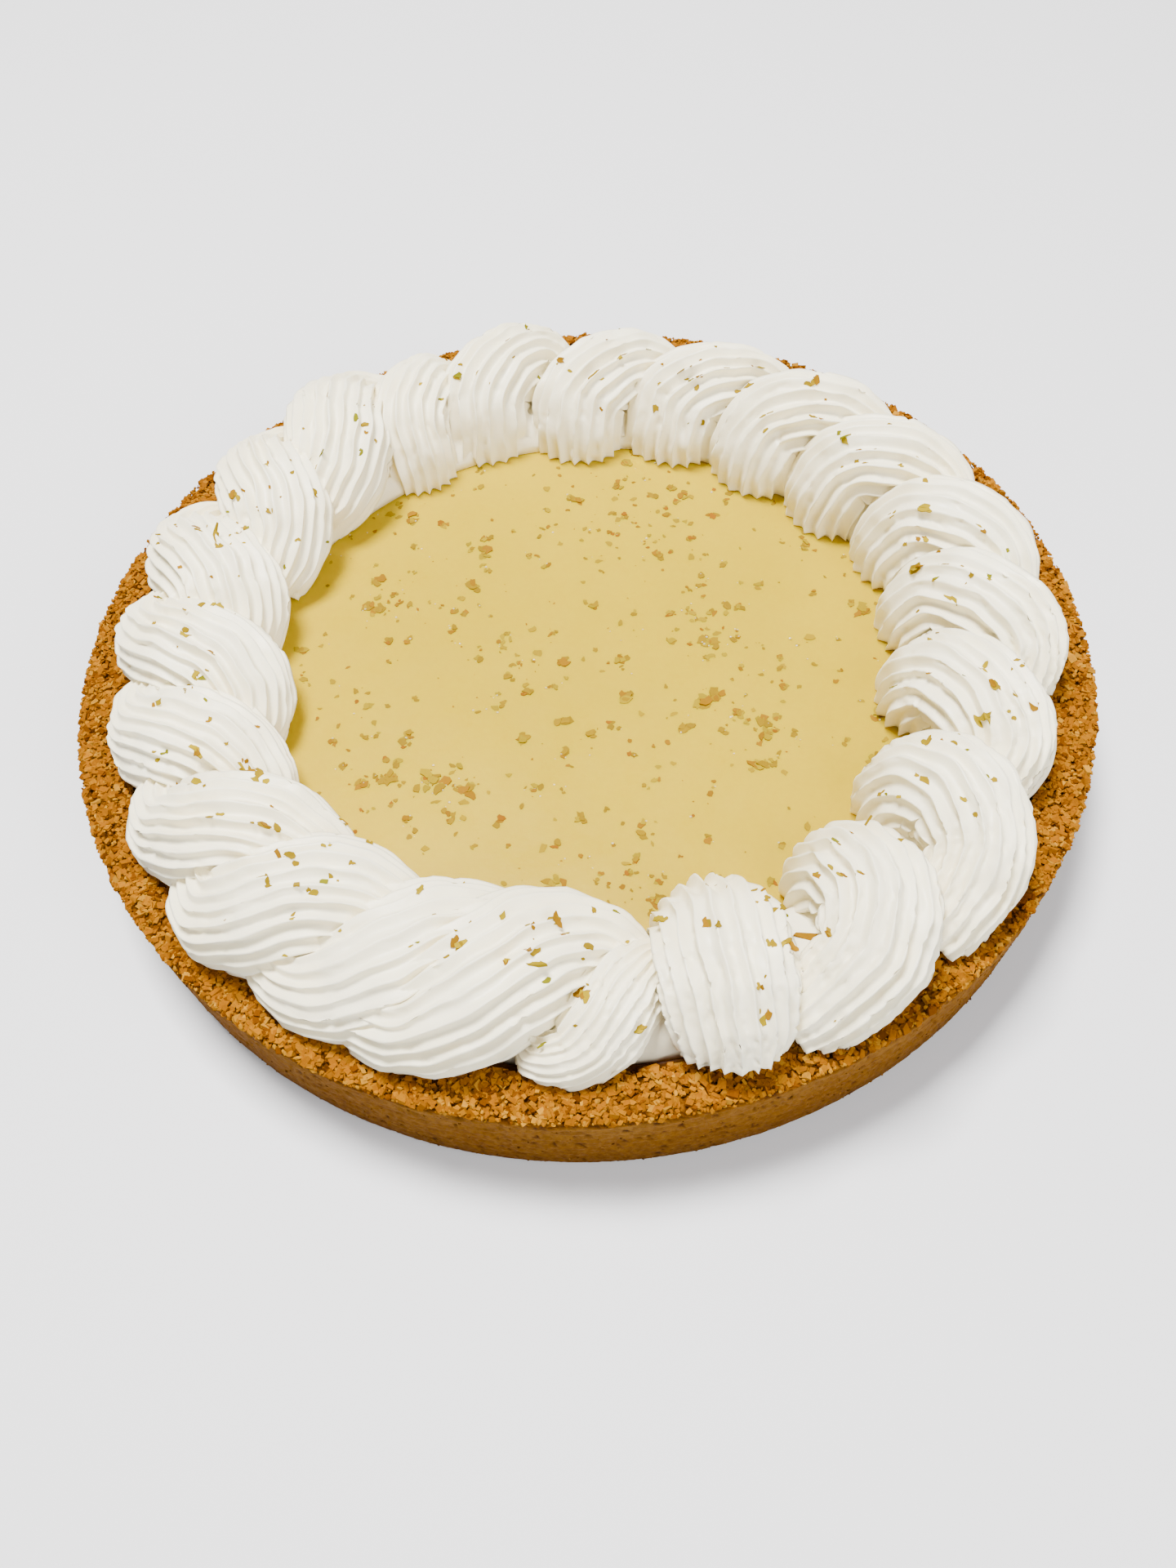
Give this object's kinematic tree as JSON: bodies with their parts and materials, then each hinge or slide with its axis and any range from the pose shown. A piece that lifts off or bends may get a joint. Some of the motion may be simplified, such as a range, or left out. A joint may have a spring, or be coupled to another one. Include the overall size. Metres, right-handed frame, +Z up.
{
  "type": "key lime pie",
  "caption": "Whole round key lime pie: crumb crust with a straight wall, flat pale yellow filling with zest, and a piped border of whipped cream.",
  "frame": {"origin": "centre of the pie's flat base, on the surface it stands on", "axes": "+Z up through the pie, -Y towards the front, the side nearest the viewer of the picture, +X to that viewer's right"},
  "size_m": [0.2543, 0.2544, 0.0536],
  "materials": {
    "crumb_crust": "matte, crumbly",
    "lime_filling": "smooth, moist gloss",
    "whipped_cream": "satin"
  },
  "bodies": {
    "root": {"crust": "crumb_crust", "filling": "lime_filling", "cream_border": "whipped_cream"}
  },
  "joints": []
}
